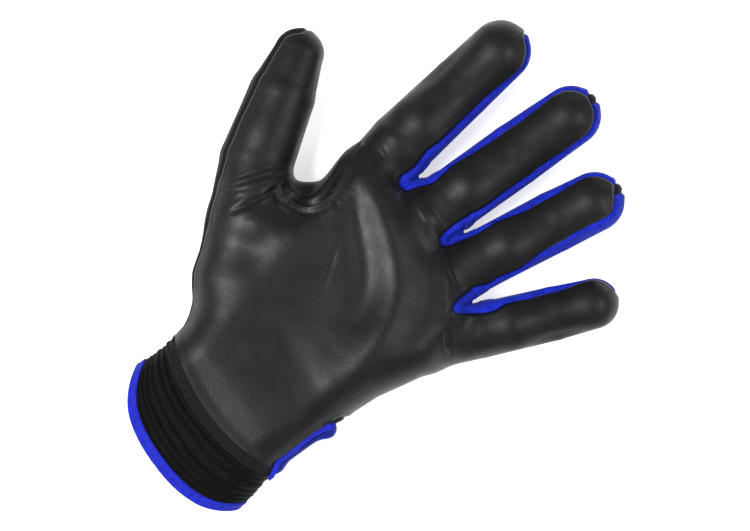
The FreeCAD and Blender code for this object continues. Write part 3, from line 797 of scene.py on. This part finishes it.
# Sides on which each finger has a knit strip, and the webs between the fingers with their X.
SIDE_NODES = {"index": ["ulnar"], "middle": ["radial", "ulnar"], "ring": ["radial", "ulnar"],
              "little": ["radial"]}
WEB_NODES = [("web_index_middle", -23), ("web_middle_ring", 7), ("web_ring_little", 33)]


def make_panels(pitch):
    skin = make_skin(pitch)
    cut_skin(skin, ["cuff", "front", "back", "gusset"] + DIGIT_CUTS)
    height = relief(skin)
    skin.verts = skin.verts + skin.values["normal"] * height[:, None]
    normals = vertex_normals(skin.verts, skin.tris)
    kept = skin.side("cuff")
    front, back, gusset = skin.side("front"), skin.side("back"), skin.side("gusset")
    centre = skin.verts[skin.tris].mean(1)
    in_hand = np.ones(len(skin.tris), bool)
    for digit in DIGITS:
        beyond, tip = skin.side(f"past_{digit}"), skin.side(f"middle_{digit}")
        in_hand &= ~beyond
        across = (centre - AXES[digit]["plane"]) @ AXES[digit]["side"]
        for part, area, bend in (("base", beyond & ~tip, bend_root), ("tip", beyond & tip, bend_middle)):
            groups = [("leather", area & front, LEATHER), ("back", area & back & ~front, BACK_FABRIC)]
            middle = area & ~front & ~back
            for side in SIDE_NODES.get(digit, []):
                chosen = middle & ((across > 0) == (side == "ulnar"))
                groups.append((f"fourchette_{side}", chosen, BLUE_KNIT))
            for panel, chosen, material in groups:
                if not chosen.any():
                    continue
                piece = panel_piece(f"{digit}_{part}_{panel}_cover", skin, normals, chosen, material)
                bend(piece, digit)
                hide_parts(f"{digit}_{part}_{panel}")
    area = in_hand & kept
    webs = area & ~front & ~back & (centre[:, 1] > 50) & (centre[:, 0] > -45)
    nearest = np.argmin([np.abs(centre[:, 0] - at) for _, at in WEB_NODES], axis=0)
    for number, (name, _) in enumerate(WEB_NODES):
        rigid_panel(name, skin, normals, webs & (nearest == number), BLUE_KNIT, name)
    rigid_panel("thumb_gusset", skin, normals, area & front & gusset, LEATHER, "thumb_gusset")
    rigid_panel("palm_leather", skin, normals, area & front & ~gusset, LEATHER, "palm_panel")
    rigid_panel("hand_back", skin, normals, area & ~front & ~webs, BACK_FABRIC, "back_panel")
    return skin


def rigid_panel(name, skin, normals, chosen, material, stands_for):
    piece = panel_piece(name + "_cover", skin, normals, chosen, material)
    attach(piece, "hand")
    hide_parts(stands_for)


# ---------------- lining

LINING_BOX = (-104, -84, 0), (76, 158, 42)
LINING_LEVEL, LINING_WALL = -1.6, 0.2


def make_lining(pitch):
    """The inside of the glove, seen through the cuff: the same surface, a wall's thickness further in."""
    verts, quads = surface_net(*LINING_BOX, pitch, LINING_LEVEL)
    verts, normal = onto_surface(verts, LINING_LEVEL)
    nearest, past = digit_coordinates(verts)
    values = digit_values(nearest, past)
    values["mouth"] = verts[:, 1] - rim_line(verts[:, 0], verts[:, 2]) - 2.5
    values["normal"] = normal
    skin = Skin(verts, triangles(quads), values)
    cut_skin(skin, ["mouth"] + DIGIT_CUTS)
    skin.tris = skin.tris[:, ::-1]
    normals = -skin.values["normal"]
    in_hand = skin.side("mouth")
    for digit in DIGITS:
        beyond, tip = skin.side(f"past_{digit}"), skin.side(f"middle_{digit}")
        in_hand &= ~beyond
        for part, area, bend in (("base", beyond & ~tip, bend_root), ("tip", beyond & tip, bend_middle)):
            piece = panel_piece(f"{digit}_{part}_lining_cloth", skin, normals, area, LINING, LINING_WALL)
            bend(piece, digit)
            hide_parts(f"{digit}_{part}_lining")
    piece = panel_piece("hand_lining_cloth", skin, normals, in_hand, LINING, LINING_WALL)
    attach(piece, "hand")


# ---------------- cuff

WRIST_X, WRIST_Z = 6.5, 21.5
WRIST_REACH = (8.0, 48.0)               # between these distances from its middle the wrist's surface is sought
EVEN_Y, GIRTH_Y = -58.0, -55.0          # Y at which the girth is divided evenly, and at which edges are read
TAPE_WIDTH, BINDING_WIDTH, BINDING_INSIDE = 5.0, 4.8, 4.2
RIM_FRONT, RIM_BACK = -80.1, -64.5      # Y of the cuff's rim, at its lowest in front and on the back
RIM_CENTRE, RIM_HALF = 8.6, 36.5
RIBS, RIB_HEIGHT = 6.3, 1.6
THREAD_RADIUS, OVERLOCK_RADIUS = 0.13, 0.17


def rim_line(x, z):
    """Y of the cuff's rim: a shallow tongue in front, straight on the back."""
    u = (x - RIM_CENTRE) / RIM_HALF
    front = RIM_FRONT + 6.9 * u ** 2 + 9.6 * u ** 4
    return front * ramp(14, 30, z) + RIM_BACK * (1 - ramp(14, 30, z))


def wrist_points(turn, y, level):
    """Points round the wrist at a given angle from its palm side, height and level of the surface."""
    turn, y, level = np.broadcast_arrays(turn, y, level)
    way = np.stack([np.sin(turn), np.zeros_like(turn), np.cos(turn)], -1)
    centre = np.stack([np.full_like(y, WRIST_X), y, np.full_like(y, WRIST_Z)], -1)
    low, high = (np.full(turn.shape, reach) for reach in WRIST_REACH)
    for _ in range(14):
        middle = (low + high) / 2
        inside = hand_field(centre + way * middle[..., None]) < level
        low = np.where(inside, middle, low)
        high = np.where(inside, high, middle)
    return centre + way * ((low + high) / 2)[..., None]


def run_length(line):
    """Distance along a line of points, from its first one."""
    return np.concatenate([[0], np.cumsum(np.linalg.norm(np.diff(line, axis=0), axis=1))])


def even_turns(count):
    """Angles round the wrist that are evenly spaced along its girth, and the girth."""
    fine = np.linspace(0, 2 * np.pi, 1441)
    along = run_length(wrist_points(fine, EVEN_Y, 0.0))
    return np.interp(np.arange(count) * along[-1] / count, along, fine), along[-1]


def grid_faces(rows, columns, closed):
    """Quads of a grid of vertices, closed round its columns or not."""
    last = columns if closed else columns - 1
    return [(r * columns + c, r * columns + (c + 1) % columns,
             (r + 1) * columns + (c + 1) % columns, (r + 1) * columns + c)
            for r in range(rows - 1) for c in range(last)]


def rigid(name, verts, faces, material, slot, *nodes, body="hand"):
    piece = mesh_piece(name, verts, faces, material)
    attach(piece, body)
    if nodes:
        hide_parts(*nodes)


def tubes(paths, radius, sides=6, closed=False):
    """Vertices and faces of thin round threads along paths of points."""
    verts, faces = [], []
    ring = np.linspace(0, 2 * np.pi, sides, endpoint=False)
    for path in paths:
        path = np.asarray(path, float)
        tangent = np.gradient(path, axis=0)
        if closed:
            tangent = np.roll(path, -1, 0) - np.roll(path, 1, 0)
        tangent /= np.maximum(lengths(tangent), 1e-9)
        helper = np.where(np.abs(tangent[:, 2:3]) < 0.8, [[0, 0, 1.0]], [[1.0, 0, 0]])
        across = np.cross(tangent, helper)
        across /= lengths(across)
        over = np.cross(across, tangent)
        start = len(verts)
        size = np.full(len(path), radius)
        if not closed:
            size[0] = size[-1] = radius * 0.45
        for point, a, b, r in zip(path, across, over, size):
            verts.extend(point + r * (np.cos(t) * a + np.sin(t) * b) for t in ring)
        count = len(path)
        for i in range(count if closed else count - 1):
            for k in range(sides):
                a, b = start + i * sides, start + (i + 1) % count * sides
                faces.append((a + k, a + (k + 1) % sides, b + (k + 1) % sides, b + k))
        if not closed:
            faces.append(tuple(start + k for k in reversed(range(sides))))
            faces.append(tuple(start + (count - 1) * sides + k for k in range(sides)))
    return np.array(verts), faces


def make_cuff():
    columns = 420
    turns, girth = even_turns(columns)

    def edges_at(turn):
        """Y of the leather's edge and of the rim at an angle."""
        x, _, z = wrist_points(turn, GIRTH_Y, 0.0).T
        return leather_edge(x, z), rim_line(x, z)

    def turn_at(share):
        """Angle at a share of the way round the girth."""
        return np.interp(share * columns, np.arange(columns + 1), np.append(turns, 2 * np.pi))

    top, rim = edges_at(turns)
    waver = np.array([noise.noise(Vector((math.sin(t) * 9, math.cos(t) * 9, 4.2))) for t in turns])

    # knit tape: tucked under the leather, slightly padded, its lower edge turned in
    rows = [(1.8, -0.25), (0.8, 0.0), (0.0, 0.1), (-0.8, 0.2), (-1.8, 0.32), (-2.8, 0.36), (-3.8, 0.32),
            (-4.6, 0.24), (-TAPE_WIDTH, 0.05), (-TAPE_WIDTH - 0.1, -0.6)]
    tape = [wrist_points(turns, top + y + 0.25 * waver, level) for y, level in rows]
    rigid("cuff_tape_band", np.concatenate(tape), grid_faces(len(rows), columns, True), TAPE,
          "overlock_tape", "cuff_join_tape")

    # ribs between the tape and the binding
    steps = 84
    s = np.linspace(0, 1, steps)[:, None]
    start, end = top - TAPE_WIDTH + 0.6, rim + BINDING_WIDTH - 0.7
    y = start + (end - start) * s
    wave = s * RIBS + 0.08 * waver + 0.28 * np.sin(7.5 * s) + 0.10 * np.sin(3 * turns + 5 * s)
    phase = wave - np.floor(wave)
    hump = np.sin(np.pi * phase ** 0.8) ** 0.6 * (0.8 + 0.2 * np.sin(2.4 * np.floor(wave) + 2.0 * turns))
    fade = ramp(0, 0.03, s) * (1 - ramp(0.97, 1, s))
    front_side = ramp(-0.1, 0.65, np.cos(turns))
    height = RIB_HEIGHT * (0.12 + 0.88 * front_side) * hump * fade
    height = height - 0.85 + 0.15 * waver + 0.6 * (1 - front_side)
    ribs = wrist_points(turns, y, height)
    faces = np.array(grid_faces(steps, columns, True))
    upper = ribs.reshape(-1, 3)[faces].mean(1)[:, 2] > 20.0
    for name, chosen, material, slot, stands_for in (
            ("cuff_rib_front", upper, NEOPRENE, "cuff_neoprene", "cuff_rib_panel"),
            ("cuff_rib_back", ~upper, BACK_FABRIC, "back_fabric", "cuff_back_panel")):
        used, local = np.unique(faces[chosen], return_inverse=True)
        rigid(name, ribs.reshape(-1, 3)[used], local.reshape(-1, 4).tolist(), material, slot, stands_for)

    # binding: folded over the rim, wider outside than inside
    section = [(BINDING_WIDTH, -0.5), (BINDING_WIDTH, 0.35), (4.45, 0.62), (3.6, 0.66), (3.0, 0.52),
               (2.7, 0.42), (2.4, 0.52), (1.8, 0.74), (1.0, 0.80), (0.4, 0.66), (0.08, 0.30), (-0.05, -0.3),
               (0.0, -0.9), (0.3, -1.5), (0.9, -2.0), (1.8, -2.2), (3.2, -2.2), (BINDING_INSIDE, -2.05),
               (4.3, -1.5)]
    loops = [wrist_points(turns, rim + y + 0.12 * waver, level + 0.12 * waver) for y, level in section]
    rigid("cuff_binding_band", np.concatenate(loops), grid_faces(len(section), columns, True),
          BLUE_BINDING, "blue_binding", "cuff_binding")

    # a row of dashes along the binding
    count = int(girth / 3.1)
    level = np.array([0.3, 0.52, 0.56, 0.52, 0.3])
    dashes = []
    for number in range(count):
        turn = turn_at((number + np.linspace(0.12, 0.78, 5)) / count)
        dashes.append(wrist_points(turn, edges_at(turn)[1] + 2.7, level))
    rigid("binding_stitches", *tubes(dashes, THREAD_RADIUS), PURPLE_THREAD, "blue_binding")

    # overlock threads: a zigzag over the leather's edge, another along the tape's lower edge
    lines = []
    for low, high, level, pitch in ((-1.5, 0.5, 0.42, 1.9), (-TAPE_WIDTH + 0.3, -TAPE_WIDTH + 1.9, 0.38, 2.4)):
        teeth = int(girth / pitch)
        spots = np.arange(teeth * 6) / 6
        swing = 1 - 2 * np.abs(2 * (spots - np.floor(spots)) - 1)
        turn = turn_at(spots / teeth)
        y = edges_at(turn)[0] + (low + high) / 2 + (high - low) / 2 * swing
        lines.append(wrist_points(turn, y, level + 0.12 * (1 - swing ** 2)))
    rigid("tape_stitches", *tubes(lines, OVERLOCK_RADIUS, 5, True), THREAD, "overlock_tape")


# ---------------- wrist strap and piping

STRAP_LOW, STRAP_HIGH, STRAP_HALF = -46.0, -12.0, 0.7
STRAP_TOP, STRAP_FLAT, STRAP_TIP, STRAP_ROUND = 19.0, 1.15, -14.0, 13.0
HOOK_TOP, LOOP_BASE, LOOP_TOP = 2.6, 3.7, 2.75      # Z of the faces of the hook and loop tapes
PATCH_TUFT = 0.14                                   # height of their rough face


def strap_side(y):
    """X of the strap's middle layer beside the wrist, pinched a little under the piping."""
    return 41.2 + 2.5 * bell(y, -15.5, 4.0) + 1.6 * bell(y, -41.5, 3.5)


def strap_path(y, seam):
    """Middle line of the strap at one height: seam, side, round and flat tail, with its outward normals."""
    side = strap_side(y)
    line = [np.array([seam[0] - 0.2, seam[1] - 0.6])]
    line += [np.array([side - 0.9 + 0.9 * t, seam[1] - 1.6 - (seam[1] - 1.6 - STRAP_TOP) * t])
             for t in np.linspace(0.15, 1, 6)]
    corner = STRAP_FLAT + STRAP_ROUND
    line += [np.array([side, z]) for z in np.linspace(STRAP_TOP - 1, corner, 5)]
    line += [np.array([side - STRAP_ROUND + STRAP_ROUND * math.cos(a), corner - STRAP_ROUND * math.sin(a)])
             for a in np.linspace(0.06, math.pi / 2, 22)]
    line += [np.array([x, STRAP_FLAT]) for x in np.linspace(side - STRAP_ROUND - 1.5, STRAP_TIP, 30)]
    line = np.array(line)
    tangent = np.gradient(line, axis=0)
    tangent /= lengths(tangent)
    return line, np.stack([-tangent[:, 1], tangent[:, 0]], 1)


def seam_line(skin):
    """Edge of the palm leather along the outer wrist, as X and Z for a height Y."""
    p = skin.verts
    edge = p[(skin.values["front"] == 0) & (p[:, 0] > 30) & (p[:, 1] < -6) & (p[:, 1] > -50)]
    edge = edge[np.argsort(edge[:, 1])]
    smooth = np.array([edge[np.abs(edge[:, 1] - y) < 2.0].mean(0) for y in edge[:, 1]])
    return lambda y: np.array([np.interp(y, smooth[:, 1], smooth[:, axis]) for axis in (0, 2)])


def bend_strap(piece):
    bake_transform(piece)


def make_strap(seam):
    heights = np.linspace(STRAP_LOW, STRAP_HIGH, 44)
    edge = np.clip((heights - STRAP_LOW) / 0.6, 0, 1) * np.clip((STRAP_HIGH - heights) / 0.6, 0, 1)
    thick = STRAP_HALF * (0.35 + 0.65 * np.sqrt(edge))
    rim_swell = 0.12 * (bell(heights - STRAP_LOW, 1.6, 1.2) + bell(STRAP_HIGH - heights, 1.6, 1.2))
    outer, inner = [], []
    for y, half, swell in zip(heights, thick, rim_swell):
        line, normal = strap_path(y, seam(y))
        for store, sign in ((outer, 1), (inner, -1)):
            at = line + normal * sign * (half + swell)
            store.append(np.stack([at[:, 0], np.full(len(at), y), at[:, 1]], 1))
    count = len(outer[0])
    loop = np.array(outer + inner[::-1])
    verts = loop.transpose(1, 0, 2).reshape(-1, 3)
    columns = loop.shape[0]
    faces = grid_faces(count, columns, True)
    faces += [tuple(range(columns))[::-1], tuple((count - 1) * columns + k for k in range(columns))]
    # the strap's darker blue knit is painted shade
    strap = mesh_piece("strap_band", verts, faces, BLUE_KNIT_PAINTED_SHADE)
    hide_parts("wrist_strap")
    bend_strap(strap)
    threads = []
    for y in (STRAP_LOW + 2.6, STRAP_HIGH - 2.6):
        line, normal = strap_path(y, seam(y))
        along = run_length(line)
        for spot in np.arange(8, along[-1] - 2, 2.9):
            t = np.linspace(spot, spot + 2.0, 5)
            lift = STRAP_HALF + np.array([-0.05, 0.10, 0.13, 0.10, -0.05])
            x = np.interp(t, along, line[:, 0]) + np.interp(t, along, normal[:, 0]) * lift
            z = np.interp(t, along, line[:, 1]) + np.interp(t, along, normal[:, 1]) * lift
            threads.append(np.stack([x, np.full(5, y), z], 1))
    stitches = mesh_piece("strap_stitches", *tubes(threads, THREAD_RADIUS), THREAD)
    bend_strap(stitches)


def patch(name, low, high, top, stands_for, body):
    """Thin square of hook or loop tape with a rough face; its corners are rounded."""
    nx, ny = 53, 61
    x, y = np.meshgrid(np.linspace(low[0], high[0], nx), np.linspace(low[1], high[1], ny), indexing="ij")
    cx, cy = (low[0] + high[0]) / 2, (low[1] + high[1]) / 2
    u, v = (x - cx) / (high[0] - cx), (y - cy) / (high[1] - cy)
    pull = 1 - 0.06 * (u ** 2 * v ** 2) ** 4
    x, y = cx + (x - cx) * pull, cy + (y - cy) * pull
    edge = np.clip((1 - np.maximum(np.abs(u), np.abs(v))) / 0.06, 0, 1)
    rough = PATCH_TUFT * (np.arange(nx)[:, None] % 2) * (np.arange(ny)[None, :] % 2)
    height = (abs(top - low[2]) - PATCH_TUFT) * (0.4 + 0.6 * edge) + rough * edge
    sign = 1 if top > low[2] else -1
    face = np.stack([x, y, low[2] + sign * height], -1).reshape(-1, 3)
    base = np.stack([x, y, np.full_like(x, low[2])], -1).reshape(-1, 3)
    quads = [q if sign > 0 else q[::-1] for q in (tuple(reversed(f)) for f in grid_faces(nx, ny, False))]
    under = [tuple(k + nx * ny for k in q[::-1]) for q in quads]
    ring = ([i * ny for i in range(nx)] + [(nx - 1) * ny + j for j in range(1, ny)]
            + [i * ny + ny - 1 for i in range(nx - 2, -1, -1)] + [j for j in range(ny - 2, 0, -1)])
    sides = [(a, b, b + nx * ny, a + nx * ny)[::sign * -1] for a, b in zip(ring, ring[1:] + ring[:1])]
    rigid(name, np.concatenate([face, base]), quads + under + sides, HOOKS, "hook_and_loop", stands_for,
          body=body)


def make_patches():
    low = (STRAP_TIP + 2, STRAP_LOW + 2)
    high = (STRAP_TIP + 28, STRAP_HIGH - 2)
    patch("hook_square", (*low, STRAP_FLAT + STRAP_HALF), high, HOOK_TOP, "hook_patch", "strap")
    patch("loop_square", (*low, LOOP_BASE), high, LOOP_TOP, "loop_patch", "hand")


def make_piping(seam):
    """Bound cord along the seam of the outer wrist, ending in a folded knob."""
    heights = np.linspace(STRAP_LOW - 0.5, STRAP_HIGH + 1.5, 64)
    sides = 14
    ring = np.linspace(0, 2 * np.pi, sides, endpoint=False)
    verts = []
    for number, y in enumerate(heights):
        t = number / (len(heights) - 1)
        x, z = seam(y)
        knob = bell(t, 0.94, 0.06)
        wide = 1.25 + 0.9 * knob + 0.12 * math.sin(17 * t) + 0.1 * math.sin(41 * t + 1)
        wide *= min(1, 0.35 + 9 * t, 0.3 + 11 * (1 - t))
        out = 0.5 + 1.4 * ramp(0.8, 1, t) + 0.7 * (1 - ramp(0, 0.2, t))
        for a in ring:
            crease = 1 - 0.16 * knob * max(0, math.cos(2 * a + 0.6))
            verts.append((x + out + wide * crease * math.cos(a), y,
                          z + 0.3 + wide * crease * 0.95 * math.sin(a)))
    faces = [q[::-1] for q in grid_faces(len(heights), sides, True)]
    faces += [tuple(range(sides)), tuple((len(heights) - 1) * sides + k for k in reversed(range(sides)))]
    rigid("seam_piping", verts, faces, BLUE_BINDING, "blue_binding", "wrist_piping")


# Spacing of the grids from which the skin and the lining are made.
SKIN_PITCH, LINING_PITCH = ((0.9, 1.8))
palm_skin = make_panels(SKIN_PITCH)
make_lining(LINING_PITCH)
make_cuff()
wrist_seam = seam_line(palm_skin)
make_strap(wrist_seam)
make_patches()
make_piping(wrist_seam)


# ---------------- lights and camera

LENS = 100
AIM = (0, 0.04, 0)                      # where the lights point
SKY, FLOOR_GLOW = 0.38, 0.62            # strengths: the floor glows a little so that it renders white
FLOOR_HALF, FLOOR_DROP = 2.0, 0.0003


def area_light(name, place, size, power):
    data = bpy.data.lights.new(name, "AREA")
    data.size = size
    data.energy = power
    lamp = bpy.data.objects.new(name, data)
    bpy.context.scene.collection.objects.link(lamp)
    lamp.location = place
    lamp.rotation_euler = (Vector(AIM) - Vector(place)).to_track_quat("-Z", "Y").to_euler()


def place_camera(centre, across, up, width):
    """Camera looking straight down its own axis at a plane of a given width."""
    data = bpy.data.cameras.new("camera")
    data.lens = LENS
    data.clip_end = 20
    camera = bpy.data.objects.new("camera", data)
    bpy.context.scene.collection.objects.link(camera)
    right, upward = Vector(across).normalized(), Vector(up).normalized()
    back = right.cross(upward)
    distance = width * LENS / data.sensor_width
    camera.matrix_world = Matrix.Translation(Vector(centre) + back * distance) @ Matrix(
        (right, upward, back)).transposed().to_4x4()
    bpy.context.scene.camera = camera


def make_floor():
    """Pale plain floor just under the glove."""
    material, tree, shader = new_material("floor")
    clouds = add_noise(tree, object_place(tree), 0.004)
    tree.links.new(add_ramp(tree, clouds, (0.86, 0.86, 0.86), (0.88, 0.88, 0.88)), shader.inputs["Base Color"])
    shader.inputs["Emission Color"].default_value = (1, 1, 1, 1)
    shader.inputs["Emission Strength"].default_value = FLOOR_GLOW
    shader.inputs["Roughness"].default_value = 0.9
    shader.inputs["Specular IOR Level"].default_value = 0.1
    mesh = bpy.data.meshes.new("floor")
    corners = [(x * FLOOR_HALF, y * FLOOR_HALF, 0) for x, y in ((-1, -1), (1, -1), (1, 1), (-1, 1))]
    mesh.from_pydata(corners, [], [(0, 1, 2, 3)])
    mesh.materials.append(material)
    floor = bpy.data.objects.new("floor", mesh)
    bpy.context.scene.collection.objects.link(floor)
    floor.location.z = -FLOOR_DROP


def make_world():
    world = bpy.data.worlds.new("studio")
    world.use_nodes = True
    background = world.node_tree.nodes["Background"]
    background.inputs["Color"].default_value = (1, 1, 1, 1)
    background.inputs["Strength"].default_value = SKY
    bpy.context.scene.world = world


make_floor()
make_world()
bpy.context.scene.view_settings.view_transform = "Standard"
place_camera((-0.0034, 0.0414, 0.02), (0.588, 0.809, 0), (-0.809, 0.588, 0), 0.315)
area_light("key", (-0.30, -0.42, 0.92), 0.42, 14)
area_light("fill", (0.42, 0.60, 0.80), 0.5, 4.0)
